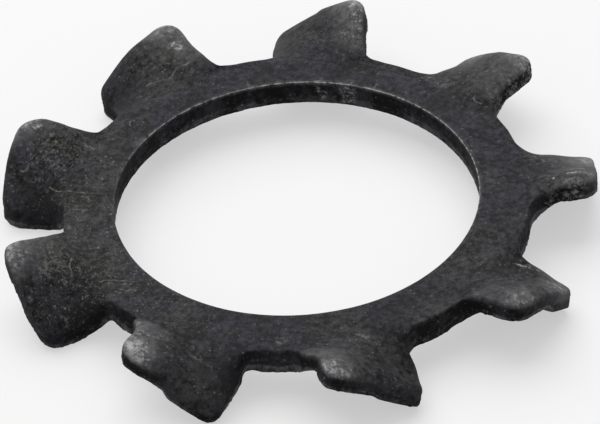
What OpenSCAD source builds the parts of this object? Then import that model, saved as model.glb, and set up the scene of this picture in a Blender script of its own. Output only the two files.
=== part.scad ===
// Toothed lock washer for an M10 screw, external type: a ring punched from
// spring-steel strip, with nine teeth round its rim. Each tooth is twisted
// about its own middle line, so that one of its corners bites the screw's
// head and the opposite corner bites the plate below.
//
// The blank is laid out flat, as the first punch leaves it. The dies then
// round the upper face off towards the edges of each tooth, and turn every
// point of the tooth about its middle line, by an angle that grows from
// nothing just inside the ring. Seen from above and from the bore, a tooth
// stands up on its right-hand side and hangs down on its left.
//
// The origin is the middle of the bore, halfway through the strip. +Z is the
// bore's axis, and +X is the middle line of the first tooth.

/* [Strip] */
// Thickness of the strip
thickness = 0.8; // [0.6:0.05:0.9]
// Rounding that the punch leaves along the upper edge of the rim
edge_round = 0.14; // [0.06:0.02:0.18]

/* [Ring] */
// Bore for the screw
bore_d = 10.6; // [10.5:0.1:11.3]
// Rounding of the upper edge of the bore
bore_round = 0.1; // [0.04:0.02:0.16]
// Diameter at the feet of the teeth
ring_d = 13.6; // [13:0.1:14.5]

/* [Teeth] */
// Number of teeth
tooth_count = 9; // [6:1:10]
// Diameter over the tips, before the teeth are twisted
tip_d = 17.5; // [16.5:0.1:19]
// Width of a tooth at its foot
root_w = 2.95; // [2.2:0.05:3.1]
// Width of a tooth at its tip, if the corners were sharp
tip_w = 3.35; // [2.6:0.05:3.8]
// Radius in the corner between a tooth and the ring
root_r = 0.25; // [0.1:0.05:0.3]
// Radius of the corner of a tip that stands up
raised_corner = 0.75; // [0.4:0.05:0.9]
// Radius of the corner of a tip that hangs down
lowered_corner = 0.4; // [0.2:0.05:0.7]

/* [Twist] */
// Angle of the half of a tooth that stands up
up_angle = 27; // [15:1:32]
// Angle of the half of a tooth that hangs down
down_angle = 35; // [20:1:40]
// Width over which one angle passes into the other
blend_w = 0.55; // [0.3:0.05:1]
// How far inside the ring the bend starts, at the middle of a tooth's foot
bend_lead = 0.65; // [0.2:0.05:0.7]
// Length, from the foot, over which the raised half turns to its full angle
raised_turn = 0.75; // [0.5:0.05:1.3]
// The same for the lowered half
lowered_turn = 0.95; // [0.5:0.05:1.4]
// Rise of the middle of a tip above the ring
tip_rise = 0.2; // [0:0.02:0.4]
// How uneven the bends are, from 0 for teeth that are all alike
unevenness = 1; // [0:0.1:1]

/* [Dome] */
// How far in from its free edges the raised half is rounded off
dome_w = 0.9; // [0.5:0.05:1.2]
// How much lower its upper face is along those edges
dome_drop = 0.48; // [0.2:0.02:0.55]
// The same drop on the lowered half
lowered_drop = 0.25; // [0:0.05:0.35]
// How much the middle of the raised half is swollen
crown = 0.14; // [0:0.02:0.2]
// Step from the lowered to the raised half at the tip
fold = 0.2; // [0:0.02:0.2]

/* [Hidden] */

half_t = thickness / 2;
bore_r = bore_d / 2;
ring_r = ring_d / 2;
tip_r = tip_d / 2;
pitch = 360 / tooth_count;
// Growth of a tooth's half width for each millimetre outwards
flare = (tip_w - root_w) / 2 / (tip_r - ring_r);
// How softly the turn starts, how softly it ends, and the curve of the rise
TURN_START = 1.4;
TURN_END = 1.8;
RISE_POWER = 1.3;
// How much longer the upper face of the lowered half takes to turn
SLACK = 0.45;
// Share of the bend's lead that is left at the sides of a foot
SIDE_LEAD = 0.3;
// How much of the turn the edges of the strip follow on the two sides
RAISED_LEAN = 0.35;
LOWERED_LEAN = 0.4;
// Width over which the raised half passes into the lowered one, in the dome
// and in the bend, and half the width of the step at the tip
DOME_PASSAGE = [-0.9, 0.3];
BEND_PASSAGE = [-0.3, 0.3];
FOLD_W = 0.12;
// Shares of a tooth's length over which the dome, its crown and the step grow
DOME_GROWTH = 0.35;
CROWN_GROWTH = 0.8;
FOLD_GROWTH = [0.25, 1];
// The lowered half is rounded off over this share of the dome's width
LOWERED_DOME = 0.6;
// What is left of the step at the tip on the upper face
UPPER_FOLD = 0.4;
// Inner radius of the blank, which the bore then cuts away
blank_r = bore_r - 0.6;
// How far the bore's cutter stands out of both faces
CUT_OVER = 1;

// Degrees by which the bend of each tooth misses the angles above
UP_MISS = [0, -3.5, 3.5, -4, 1, -0.5, -3, -2, -5.5];
DOWN_MISS = [-7, -4.5, -3, 2, 1.5, 1, 0, -0.5, -1.5];
// How much further each tooth reaches and how much higher its tip is, and by
// how many degrees the tip is out of its place round the bore
REACH_MISS = [0.07, 0.07, 0.07, 0.07, 0.07, 0, -0.03, -0.05, -0.06];
LIFT_MISS = [-0.08, -0.04, 0.08, 0.09, 0.08, 0, 0, 0, 0];
PLACE_MISS = [-0.3, 1.2, 0.2, 0.2, 0, 0.2, 0, 0, 0.5];

// The rim's edge from the upper to the lower face: how far each line of
// points lies inside the blank's outline, and its height on the flat blank
RIM = [
    [edge_round, half_t],
    [edge_round * (1 - sin(45)), half_t - edge_round * (1 - cos(45))],
    [0, half_t - edge_round],
    [0, -half_t]
];
UPPER = 0;
LOWER = 3;

// Steps along each stretch of the outline
FILLET_STEPS = 4;
SIDE_STEPS = 7;
CORNER_STEPS = 4;
ROWS = FILLET_STEPS + SIDE_STEPS + CORNER_STEPS;
COLS = 12;
GAP_STEPS = 6;
ROUND_STEPS = 4;

// ---------------------------------------------------------------- the blank
// Here inset is how far a point lies inside the outline, measured square to
// it, and r is the distance from the bore's axis.

// Radius at which row i of a tooth ends, from the foot to the tip
function row_r(i, inset) =
    i <= FILLET_STEPS
        ? ring_r + root_r - (root_r + inset) * cos(90 * i / FILLET_STEPS)
    : i <= FILLET_STEPS + SIDE_STEPS
        ? ring_r + root_r + side_len() * (i - FILLET_STEPS) / SIDE_STEPS
    : tip_r - raised_corner
        + (raised_corner - inset) * sin(90 * (i - FILLET_STEPS - SIDE_STEPS) / CORNER_STEPS);

// Length of the straight stretch of a tooth's raised side
function side_len() = tip_r - raised_corner - ring_r - root_r;

// What a fillet or a rounded corner of radius q takes from a side, at the
// distance d along the side from where the rounding starts
function rounding(q, d) = d <= 0 ? 0 : q - sqrt(max(q * q - d * d, 0));

// Radius of the tip's corner on the side of y: the raised one is below 0
function corner_of(y) = y < 0 ? raised_corner : lowered_corner;

// Half the width of a tooth at the radius r, on the side of y
function half_w(r, inset, y) =
    root_w / 2 + flare * (r - ring_r) - inset * sqrt(1 + flare * flare)
    + rounding(root_r + inset, ring_r + root_r - r)
    - rounding(corner_of(y) - inset, r - tip_r + corner_of(y));

// Distance from a point of a tooth to the blank's outline
function margin(r, y) =
    let (
        q = corner_of(y),
        past_r = r - tip_r + q,
        past_y = abs(y) - root_w / 2 - flare * (r - ring_r) + q
    )
    past_r > 0 && past_y > 0
        ? max(q - norm([past_r, past_y]), 0)
        : max(min(half_w(r, 0, y) - abs(y), tip_r - r), 0);

// Angle from a tooth's middle line to the end of its foot
function foot_angle(inset) =
    asin(half_w(row_r(0, inset), inset, 1) / row_r(0, inset));

// ----------------------------------------------------------------- the dies
// Here y is the distance to the side of tooth k's middle line, below 0 on the
// raised side, and high is 0 on the lower face of the strip and 1 on the upper.

// v kept between 0 and 1
function share(v) = min(max(v, 0), 1);

// 0 below limits[0] and 1 above limits[1], with a smooth passage between
function passage(v, limits) =
    let (t = share((v - limits[0]) / (limits[1] - limits[0])))
    t * t * (3 - 2 * t);

// Share of a tooth's length at the radius r
function out(r) = share((r - ring_r) / (tip_r - ring_r));

// Quarter of a circle: 1 along the outline and 0 from the width w inwards
function roll(m, w) = 1 - sqrt(1 - pow(1 - share(m / w), 2));

// How much the dies raise or lower the upper face
function dome(r, y) =
    let (raised = 1 - passage(y, DOME_PASSAGE), m = margin(r, y))
    crown * raised * passage(out(r), [0, CROWN_GROWTH])
    - passage(out(r), [0, DOME_GROWTH]) * (
        dome_drop * raised * roll(m, dome_w)
        + lowered_drop * (1 - raised) * roll(m, LOWERED_DOME * dome_w)
    );

function missed(list, k) = unevenness * list[k % len(list)];
function up_of(k) = up_angle + missed(UP_MISS, k);
function down_of(k) = down_angle + missed(DOWN_MISS, k);
function reach_of(k) = missed(REACH_MISS, k);
function place_of(k, r) = k * pitch + missed(PLACE_MISS, k) * out(r);

// How far the bend reaches into the ring: most at the middle of the foot
function lead(y) =
    bend_lead * (1 - (1 - SIDE_LEAD) * share(pow(2 * y / root_w, 2)));

// Share of its full angle that a tooth has at a point. On the ring the bend
// fades beyond the sides of the tooth, so that the gap's wall stays flat.
function turned(r, y, high) =
    let (
        low = passage(y, BEND_PASSAGE),
        length = raised_turn * (1 - low) + (lowered_turn + SLACK * high) * low,
        gone = share((r - ring_r + lead(y)) / (length + lead(y))),
        beside = passage(abs(y), [root_w / 2 - root_r / 2, root_w / 2 + root_r * 2]),
        on_ring = 1 - passage(r - ring_r, [0, root_r])
    )
    (1 - pow(1 - pow(gone, TURN_START), TURN_END)) * (1 - on_ring * beside);

// Angle of the strip
function slope(k, r, y, high) =
    let (side = y / sqrt(y * y + blend_w * blend_w), mean = (down_of(k) + up_of(k)) / 2)
    turned(r, y, high) * (mean + side * (down_of(k) - up_of(k)) / 2);

// Rise of the middle of the strip, with the step between its halves
function rise(k, r, y, high) =
    (tip_rise + missed(LIFT_MISS, k)) * pow(out(r), RISE_POWER)
    - fold * y / sqrt(y * y + FOLD_W * FOLD_W) * (1 - abs(y) / (tip_w / 2))
        * passage(out(r), FOLD_GROWTH) * (1 - (1 - UPPER_FOLD) * high);

// Where a point of the flat blank goes: r from the axis, y to the side of
// tooth k's middle line and z from mid-thickness
function bent(k, r, y, z) =
    let (
        high = z / thickness + 0.5,
        a = slope(k, r, y, high),
        low = passage(y, BEND_PASSAGE),
        lean = RAISED_LEAN * (1 - low) + LOWERED_LEAN * low,
        h = z + dome(r, y) * high,
        x = sqrt(r * r - y * y) + reach_of(k) * out(r),
        w = y * cos(a) + h * sin(a) * lean
    )
    [
        x * cos(place_of(k, r)) - w * sin(place_of(k, r)),
        x * sin(place_of(k, r)) + w * cos(place_of(k, r)),
        h * cos(a) - y * sin(a) + rise(k, r, y, high)
    ];

// ---------------------------------------------------------- lists of points
// Each tooth and the gap after it make one pitch. Its points come in five
// blocks, whose sizes and starts are worked out here, so that every face can
// name its corners.

// Rows of a tooth, each a closed loop: the upper face from one side to the
// other, down the rim's edge, back along the lower face and up the edge
loop_points = 2 * (COLS + 1) + 2 * (LOWER - 1);
tooth_points = (ROWS + 1) * loop_points;
// Lines of the rim's edge across the tip, without their ends
tip_points = (LOWER - 1) * (COLS - 1);
// Lines of the rim's edge along the gap, without their ends
gap_points = (LOWER + 1) * (GAP_STEPS - 1);
// Two lines on each face of the ring: where the bends end, and the edge of
// the blank's inner wall
ring_line = COLS + GAP_STEPS;
BEND_END = 0;
HUB = 1;
LINE_R = [ring_r - bend_lead, blank_r];
pitch_points = tooth_points + tip_points + gap_points + 2 * len(LINE_R) * ring_line;

// Point of row i on rim line e, at the share v from -1 to 1 of the width
function tooth_point(k, i, e, v) =
    let (inset = RIM[e][0], r = row_r(i, inset))
    bent(k, r, v * half_w(r, inset, v), RIM[e][1]);

function row_points(k, i) = [
    for (j = [0 : COLS]) tooth_point(k, i, UPPER, 2 * j / COLS - 1),
    for (e = [1 : LOWER - 1]) tooth_point(k, i, e, 1),
    for (j = [0 : COLS]) tooth_point(k, i, LOWER, 1 - 2 * j / COLS),
    for (e = [1 : LOWER - 1]) tooth_point(k, i, LOWER - e, -1)
];

// Angle of step g of the gap after tooth k, on a line that lies inset inside
function gap_angle(k, g, inset) =
    k * pitch + foot_angle(inset) + (pitch - 2 * foot_angle(inset)) * g / GAP_STEPS;

function on_circle(r, angle, z) = [r * cos(angle), r * sin(angle), z];

// Angles of the points of the ring's lines along one pitch
function line_angle(k, j) =
    j <= COLS
        ? k * pitch + foot_angle(edge_round) * (2 * j / COLS - 1)
        : gap_angle(k, j - COLS, edge_round);

POINTS = [
    for (k = [0 : tooth_count - 1]) each [
        for (i = [0 : ROWS]) each row_points(k, i),
        for (e = [1 : LOWER - 1], j = [1 : COLS - 1])
            tooth_point(k, ROWS, e, 2 * j / COLS - 1),
        for (e = [UPPER : LOWER], g = [1 : GAP_STEPS - 1])
            on_circle(ring_r - RIM[e][0], gap_angle(k, g, RIM[e][0]), RIM[e][1]),
        for (r = LINE_R, z = [half_t, -half_t], j = [0 : ring_line - 1])
            on_circle(r, line_angle(k, j), z)
    ]
];

// ----------------------------------------------------------- names of points

function start(k) = (k % tooth_count) * pitch_points;

// Point j across row i, on rim line e. A line between the two faces has its
// own points only at the sides of the tooth and across its tip.
function at(k, i, e, j) =
    let (row = start(k) + i * loop_points)
    e == UPPER ? row + j
    : e == LOWER ? row + COLS + LOWER + COLS - j
    : j == COLS ? row + COLS + e
    : j == 0 ? row + loop_points - e
    : start(k) + tooth_points + (e - 1) * (COLS - 1) + j - 1;

// Point g along the gap after tooth k, on rim line e
function gap_at(k, e, g) =
    g == 0 ? at(k, 0, e, COLS)
    : g == GAP_STEPS ? at(k + 1, 0, e, 0)
    : start(k) + tooth_points + tip_points + e * (GAP_STEPS - 1) + g - 1;

// Point j of one of the ring's lines, with side 0 above and 1 below
function line_at(k, line, side, j) =
    j == ring_line
        ? line_at(k + 1, line, side, 0)
        : start(k) + tooth_points + tip_points + gap_points
            + (2 * line + side) * ring_line + j;

// The same along the line where the ring meets the teeth and the gaps
function foot_at(k, side, j) =
    let (e = side == 0 ? UPPER : LOWER)
    j <= COLS ? at(k, 0, e, j) : gap_at(k, e, j - COLS);

// Two triangles between four points, counted clockwise from outside and
// parted along the shorter diagonal
function quad(a, b, c, d) =
    norm(POINTS[a] - POINTS[c]) <= norm(POINTS[b] - POINTS[d])
        ? [[a, b, c], [a, c, d]]
        : [[b, c, d], [b, d, a]];

FACES = [
    for (k = [0 : tooth_count - 1]) each [
        // upper face, lower face and sides of the tooth
        for (i = [0 : ROWS - 1], j = [0 : loop_points - 1])
            each quad(
                start(k) + i * loop_points + j,
                start(k) + i * loop_points + (j + 1) % loop_points,
                start(k) + (i + 1) * loop_points + (j + 1) % loop_points,
                start(k) + (i + 1) * loop_points + j
            ),
        // its tip
        for (e = [UPPER : LOWER - 1], j = [0 : COLS - 1])
            each quad(
                at(k, ROWS, e, j), at(k, ROWS, e, j + 1),
                at(k, ROWS, e + 1, j + 1), at(k, ROWS, e + 1, j)
            ),
        // the gap's wall
        for (e = [UPPER : LOWER - 1], g = [0 : GAP_STEPS - 1])
            each quad(
                gap_at(k, e, g), gap_at(k, e, g + 1),
                gap_at(k, e + 1, g + 1), gap_at(k, e + 1, g)
            ),
        // upper and lower face of the ring, and the blank's inner wall
        for (j = [0 : ring_line - 1]) each [
            each quad(
                line_at(k, BEND_END, 0, j), line_at(k, BEND_END, 0, j + 1),
                foot_at(k, 0, j + 1), foot_at(k, 0, j)
            ),
            each quad(
                foot_at(k, 1, j), foot_at(k, 1, j + 1),
                line_at(k, BEND_END, 1, j + 1), line_at(k, BEND_END, 1, j)
            ),
            each quad(
                line_at(k, HUB, 0, j), line_at(k, HUB, 0, j + 1),
                line_at(k, BEND_END, 0, j + 1), line_at(k, BEND_END, 0, j)
            ),
            each quad(
                line_at(k, BEND_END, 1, j), line_at(k, BEND_END, 1, j + 1),
                line_at(k, HUB, 1, j + 1), line_at(k, HUB, 1, j)
            ),
            each quad(
                line_at(k, HUB, 1, j), line_at(k, HUB, 1, j + 1),
                line_at(k, HUB, 0, j + 1), line_at(k, HUB, 0, j)
            )
        ]
    ]
];

// -------------------------------------------------------------- the sub-part

// What the punch takes out for the screw, with the rounding of its upper edge
module bore() {
    rotate_extrude($fn = 96)
        polygon([
            [0, -half_t - CUT_OVER],
            [bore_r, -half_t - CUT_OVER],
            for (i = [0 : ROUND_STEPS])
                let (a = 90 * i / ROUND_STEPS)
                [
                    bore_r + bore_round * (1 - cos(a)),
                    half_t - bore_round * (1 - sin(a))
                ],
            [bore_r + bore_round, half_t + CUT_OVER],
            [0, half_t + CUT_OVER]
        ]);
}

module washer() {
    color([0.24, 0.24, 0.26])
        difference() {
            polyhedron(points = POINTS, faces = FACES, convexity = 4);
            bore();
        }
}

washer();
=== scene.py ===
"""External tooth lock washer of blackened spring steel, lying on a pale table.

One pitch of the flat blank, a tooth with the gap beside it, is laid out as a
mesh. A geometry tree repeats it round the bore, twists every tooth about its
own middle line and roughens the torn edges. The shader blackens the steel,
rubs the raised corners and paints sheen on them, paints shade on the lowered
halves and lets dust settle in the bends.

Lengths are in metres in the row's frame: the origin is the middle of the
bore, halfway through the strip, +Z is the bore's axis and +X is the middle
line of the first tooth. MM turns millimetres into metres.
"""

import math

import bpy
from mathutils import Matrix, Vector


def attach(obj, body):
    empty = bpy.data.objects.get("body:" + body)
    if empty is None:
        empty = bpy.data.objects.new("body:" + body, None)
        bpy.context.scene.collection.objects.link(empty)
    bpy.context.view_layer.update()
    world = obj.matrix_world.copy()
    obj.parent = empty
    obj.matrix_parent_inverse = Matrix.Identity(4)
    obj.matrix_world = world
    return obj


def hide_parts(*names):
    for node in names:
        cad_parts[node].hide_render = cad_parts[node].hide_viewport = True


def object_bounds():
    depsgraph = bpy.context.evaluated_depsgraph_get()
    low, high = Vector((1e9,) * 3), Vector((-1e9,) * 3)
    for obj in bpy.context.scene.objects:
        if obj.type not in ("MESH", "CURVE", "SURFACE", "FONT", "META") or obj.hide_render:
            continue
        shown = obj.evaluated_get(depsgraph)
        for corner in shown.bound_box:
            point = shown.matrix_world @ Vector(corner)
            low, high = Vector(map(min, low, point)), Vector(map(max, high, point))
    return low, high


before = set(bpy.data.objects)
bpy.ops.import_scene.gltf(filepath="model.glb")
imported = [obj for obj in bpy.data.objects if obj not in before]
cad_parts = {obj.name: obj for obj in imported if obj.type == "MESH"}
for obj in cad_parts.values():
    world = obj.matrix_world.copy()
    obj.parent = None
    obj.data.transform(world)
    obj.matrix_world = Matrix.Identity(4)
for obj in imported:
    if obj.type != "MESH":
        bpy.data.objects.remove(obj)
cad_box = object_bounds()

MM = 0.001

# The washer, as its solid is sized
THICKNESS = 0.8 * MM
BORE_R = 5.32 * MM
RING_R = 6.78 * MM
TEETH = 9
TIP_R = 8.75 * MM
ROOT_W = 2.95 * MM
TIP_W = 3.35 * MM
ROOT_ROUND = 0.3 * MM
RAISED_CORNER = 0.73 * MM
LOWERED_CORNER = 0.42 * MM
FLARE = (TIP_W - ROOT_W) / 2 / (TIP_R - RING_R)

UP_ANGLE = 27.0
DOWN_ANGLE = 34.0
BLEND_W = 0.55 * MM
BEND_LEAD = 0.2 * MM
MIDDLE_LEAD = 0.45 * MM
RAISED_TURN = 0.75 * MM
LOWERED_TURN = 0.95 * MM
LOWERED_SLACK = 0.45 * MM
BEND_START = 1.4
BEND_END = 1.8
RAISED_LEAN = 0.35
LOWERED_LEAN = 0.40
TIP_RISE = 0.18 * MM
RISE_POWER = 1.3
# Degrees by which each tooth misses the two angles
UP_MISS = (0, -5, 0, -5.5, 1, -0.5, -3, -2, -5.5)
DOWN_MISS = (-7, -3, -1.5, 2, 3.5, 3.5, -1.5, -0.5, -1.5)
# How far each tooth is out of its place round the bore, in degrees, and how
# far it is lifted, in mm
PLACE_MISS = (-0.3, 1.2, 0.2, 0.2, -0.1, 0.6, -0.1, -0.1, 0.5)
LIFT_MISS = (-0.12, 0.02, 0.07, 0.07, 0.08, 0, -0.03, -0.01, -0.01)
# How much further each tooth reaches, and how far the broad round and the
# point of its raised and lowered corners and the two sides of its foot stand
# out, in mm
REACH_MISS = (0, 0.07, 0.06, 0.07, 0.07, -0.01, -0.06, -0.09, -0.05)
HIGH_CORNER = (0, 0.1, 0, 0.1, -0.1, 0, 0.1, 0, 0.1)
LOW_CORNER = (0.05, -0.2, 0, 0.05, 0.05, -0.1, 0, 0, 0)
HIGH_POINT = (0, 0.06, 0.04, 0, 0, 0.18, 0.05, 0.18, 0.05)
LOW_POINT = (0.1, -0.1, 0, 0, 0, 0, 0, 0, 0)
HIGH_FOOT = (-0.1, 0, 0, 0.12, 0.08, 0.14, 0.35, 0.3, 0)
LOW_FOOT = (-0.3, -0.2, -0.2, 0.2, -0.05, -0.08, 0.03, -0.2, -0.2)
# How deep the break has torn into the foot of each tooth's lowered side, in mm
FOOT_NICK = (0, 0, 0, 0, 0, 0.12, 0.14, 0, 0)
# How far out of square each tooth's tip is cut, reaching out on its lowered side
TIP_SKEW = (0.08, 0, 0, 0, 0, -0.02, 0, 0, 0)
# How far the upper edge of each tooth's lowered side is sheared back, in mm
LOW_SLANT = (0, 0, 0, 0.1, 0.2, 0.16, 0.05, 0, 0)
# How much of the step between its halves each tooth has at its tip
FOLD_SHARE = (0.5, 0.3, 0.8, 0.2, 0.5, 0.5, 1, 0.4, 1)
# How much longer the bend of each tooth's two sides takes, in mm
HIGH_LATE = (0.2, 0, 0.4, 0, 0.2, 0.2, 0, 0.4, 0)
LOW_LATE = (0.4, 0.2, 0.4, 0, -0.4, -0.4, 0.8, 0.2, 0.4)

# How much rubbed wear and painted sheen each tooth has at its raised corner
# and along its raised side, and how much painted sheen at its lowered corner
CORNER_WEAR_AND_SHEEN = (0.3, 0.5, 0.35, 0.35, 0.45, 0.52, 0.45, 0.4, 0.5)
SIDE_WEAR_AND_SHEEN = (0.1, 0.3, 0.6, 0.5, 0.3, 0.3, 0.6, 0.4, 0.25)
LOW_CORNER_SHEEN = (0.85, 0.85, 0.15, 0.1, 0.15, 0.05, 0.15, 0.1, 0.8)
# How much painted shade its lowered half and its nook get, and how dusty it is
LOW_SHADE = (0, 0.2, 0.8, 1, 0.9, 1, 1, 0.9, 0)
NOOK_SHADE = (0, 0, 0, 0.3, 1, 1, 0.5, 0.2, 0)
DUST = (0.3, 0.5, 0.35, 0.6, 1.0, 0.9, 0.5, 0.35, 0.3)

# The punch rolls the upper edges over and leaves the lower ones sharp
ROLL = 0.09 * MM
ROLL_DEPTH = 0.11 * MM
BURR_ROUND = 0.03 * MM
BORE_EDGE = 0.04 * MM
# The raised half is domed towards its free edges
DOME_WIDTH = 0.9 * MM
DOME_DEPTH = 0.48 * MM
LOWERED_DEPTH = 0.25 * MM
CROWN = 0.14 * MM
# The raised half steps up from the lowered one at the tip
FOLD_HEIGHT = 0.2 * MM
FOLD_WIDTH = 0.12 * MM
# The bore is a little oval and off centre, and the ring wider on one side
BORE_SHIFT = 0.04 * MM
BORE_DRIFT = 0.015 * MM
BORE_OVAL = 0.02 * MM
RING_SHIFT = 0.09 * MM


# ------------------------------------------------------------------ node trees


class Value:
    """A socket of a node tree, on which Python's operators add Math nodes."""

    def __init__(self, net, socket):
        self.net = net
        self.socket = socket

    def __add__(self, other):
        return self.net.math("ADD", self, other)

    def __radd__(self, other):
        return self.net.math("ADD", other, self)

    def __sub__(self, other):
        return self.net.math("SUBTRACT", self, other)

    def __rsub__(self, other):
        return self.net.math("SUBTRACT", other, self)

    def __mul__(self, other):
        return self.net.math("MULTIPLY", self, other)

    def __rmul__(self, other):
        return self.net.math("MULTIPLY", other, self)

    def __truediv__(self, other):
        return self.net.math("DIVIDE", self, other)

    def __rtruediv__(self, other):
        return self.net.math("DIVIDE", other, self)

    def __pow__(self, other):
        return self.net.math("POWER", self, other)


class Net:
    """A node tree under construction, of a material or of a modifier."""

    def __init__(self, tree):
        self.tree = tree

    def node(self, kind, settings=None, sockets=None):
        """Adds a node: first its settings, then its sockets' values or links."""
        made = self.tree.nodes.new(kind)
        for name, setting in (settings or {}).items():
            if name == "items":  # the number of an Index Switch's inputs
                for _ in range(setting - len(made.index_switch_items)):
                    made.index_switch_items.new()
            else:
                setattr(made, name, setting)
        for key, content in (sockets or {}).items():
            self.fill(self.socket(made.inputs, key), content)
        return made

    def out(self, kind, settings=None, sockets=None, key=0):
        """Adds a node and gives one of its outputs."""
        made = self.node(kind, settings, sockets)
        return Value(self, self.socket(made.outputs, key))

    def math(self, operation, *numbers, clamp=False):
        settings = {"operation": operation, "use_clamp": clamp}
        return self.out("ShaderNodeMath", settings, dict(enumerate(numbers)))

    def vector(self, operation, first, second=None, key=0):
        """Vector Math on one or two vectors."""
        sockets = {0: first} if second is None else {0: first, 1: second}
        return self.out("ShaderNodeVectorMath", {"operation": operation}, sockets, key)

    def scaled(self, vector, scale):
        sockets = {0: vector, "Scale": scale}
        return self.out("ShaderNodeVectorMath", {"operation": "SCALE"}, sockets)

    def noise(self, where, scale, detail=4.0, rough=0.5, key="Fac"):
        sockets = {"Vector": where, "Scale": scale, "Detail": detail, "Roughness": rough}
        return self.out("ShaderNodeTexNoise", None, sockets, key)

    def attribute(self, name, kind="FLOAT"):
        """What a geometry's points carry under a name."""
        return self.out("GeometryNodeInputNamedAttribute", {"data_type": kind}, {"Name": name})

    def bell(self, value, middle, spread):
        """1 at the middle, falling off to 0 on both sides."""
        away = (value - middle) / spread
        return self.math("EXPONENT", 0 - away * away)

    def blend(self, share, first, second, kind="MIX"):
        """A colour that is first where share is 0 and second where it is 1."""
        return self.out(
            "ShaderNodeMix",
            {"data_type": "RGBA", "blend_type": kind},
            {"Factor_Float": share, "A_Color": first, "B_Color": second},
            "Result_Color",
        )

    def step(self, value, low, high):
        """0 below low and 1 above high, with a smooth passage between."""
        return self.out(
            "ShaderNodeMapRange",
            {"interpolation_type": "SMOOTHSTEP"},
            {"Value": value, "From Min": low, "From Max": high},
        )

    @staticmethod
    def socket(sockets, key):
        if isinstance(key, int):
            return sockets[key]
        for found in sockets:
            if found.identifier == key:
                return found
        return sockets[key]

    def fill(self, socket, content):
        if isinstance(content, Value):
            self.tree.links.new(content.socket, socket)
        else:
            socket.default_value = content


# ------------------------------------------------------------- the flat blank


def rounding(radius, along):
    """What a rounded corner takes from a side at this distance past its start."""
    if along <= 0:
        return 0.0
    return radius - math.sqrt(max(radius**2 - along**2, 0.0))


def corner_of(share):
    """The round of the tip's corner on this side of the tooth."""
    return RAISED_CORNER if share < 0 else LOWERED_CORNER


def half_width(r, inset, share):
    """Width of a flat tooth from its middle line, on a line inset inside."""
    side = ROOT_W / 2 + FLARE * (r - RING_R) - inset * math.hypot(1, FLARE)
    fillet = rounding(ROOT_ROUND + inset, RING_R + ROOT_ROUND - r)
    corner = corner_of(share)
    return side + fillet - rounding(corner - inset, r - TIP_R + corner)


FILLET_ROWS = 9
SIDE_ROWS = 18
CORNER_ROWS = 12
TOOTH_ROWS = FILLET_ROWS + SIDE_ROWS + CORNER_ROWS
TOOTH_COLUMNS = 32
GAP_COLUMNS = 9
RING_COLUMNS = TOOTH_COLUMNS + 2 * GAP_COLUMNS
RING_ROWS = 14
ROLL_STEPS = 6
WALL_ROWS = 7


def row_radius(row, inset):
    """Radius of a row of points across the tooth, from its foot to its tip."""
    if row <= FILLET_ROWS:
        turn = math.pi / 2 * row / FILLET_ROWS
        return RING_R + ROOT_ROUND - (ROOT_ROUND + inset) * math.cos(turn)
    start = RING_R + ROOT_ROUND
    end = TIP_R - RAISED_CORNER
    if row <= FILLET_ROWS + SIDE_ROWS:
        return start + (end - start) * (row - FILLET_ROWS) / SIDE_ROWS
    turn = math.pi / 2 * (row - FILLET_ROWS - SIDE_ROWS) / CORNER_ROWS
    return end + (RAISED_CORNER - inset) * math.sin(turn)


def tooth_place(row, share, inset):
    """Plan position on the tooth, share running from -1 to 1 of its width."""
    r = row_radius(row, inset)
    y = share * half_width(r, inset, share)
    return math.sqrt(r**2 - y**2), y


def tooth_margin(row, share, inset):
    """Distance from a point of the tooth to the outline of the blank."""
    r = row_radius(row, inset)
    y = abs(share) * half_width(r, inset, share)
    corner = corner_of(share)
    past_r = r - (TIP_R - corner)
    past_y = y - (ROOT_W / 2 + FLARE * (r - RING_R) - corner)
    if past_r > 0 and past_y > 0:
        return max(0.0, corner - math.hypot(past_r, past_y))
    return max(0.0, min(half_width(r, 0.0, share) - y, TIP_R - r))


def foot_angle(inset):
    r = row_radius(0, inset)
    return math.asin(half_width(r, inset, 1) / r)


def foot_place(column, inset, r=None):
    """Plan position on the line round the teeth's feet, or nearer the bore."""
    foot = foot_angle(inset)
    half_pitch = math.pi / TEETH
    on_tooth = column - GAP_COLUMNS
    if on_tooth < 0:
        angle = -foot + (half_pitch - foot) * on_tooth / GAP_COLUMNS
    elif on_tooth <= TOOTH_COLUMNS:
        angle = math.asin((2 * on_tooth / TOOTH_COLUMNS - 1) * math.sin(foot))
    else:
        angle = foot + (half_pitch - foot) * (on_tooth - TOOTH_COLUMNS) / GAP_COLUMNS
    r = row_radius(0, inset) if r is None else r
    return r * math.cos(angle), r * math.sin(angle)


def outline(inset):
    """The rim of one pitch: half a gap, round the tooth and half a gap."""
    first_foot, last_foot = GAP_COLUMNS, GAP_COLUMNS + TOOTH_COLUMNS
    places = [foot_place(column, inset) for column in range(first_foot + 1)]
    places += [tooth_place(row, -1, inset) for row in range(1, TOOTH_ROWS)]
    for column in range(TOOTH_COLUMNS):
        places.append(tooth_place(TOOTH_ROWS, 2 * column / TOOTH_COLUMNS - 1, inset))
    places += [tooth_place(row, 1, inset) for row in range(TOOTH_ROWS, 0, -1)]
    places += [foot_place(column, inset) for column in range(last_foot, RING_COLUMNS + 1)]
    return places


def edge_profile(roll, depth, burr):
    """The strip's edge from the upper to the lower face: (inset, height)."""
    top = THICKNESS / 2
    curve = []
    for step in range(ROLL_STEPS + 1):
        turn = math.pi / 2 * step / ROLL_STEPS
        curve.append((roll * (1 - math.sin(turn)), top - depth * (1 - math.cos(turn))))
    wall_top = top - depth
    wall_low = -top + burr
    for row in range(1, WALL_ROWS + 1):
        curve.append((0.0, wall_top + (wall_low - wall_top) * row / WALL_ROWS))
    halfway = burr * (1 - math.sqrt(0.5))
    curve.append((halfway, -top + halfway))
    curve.append((burr, -top))
    return curve


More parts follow.
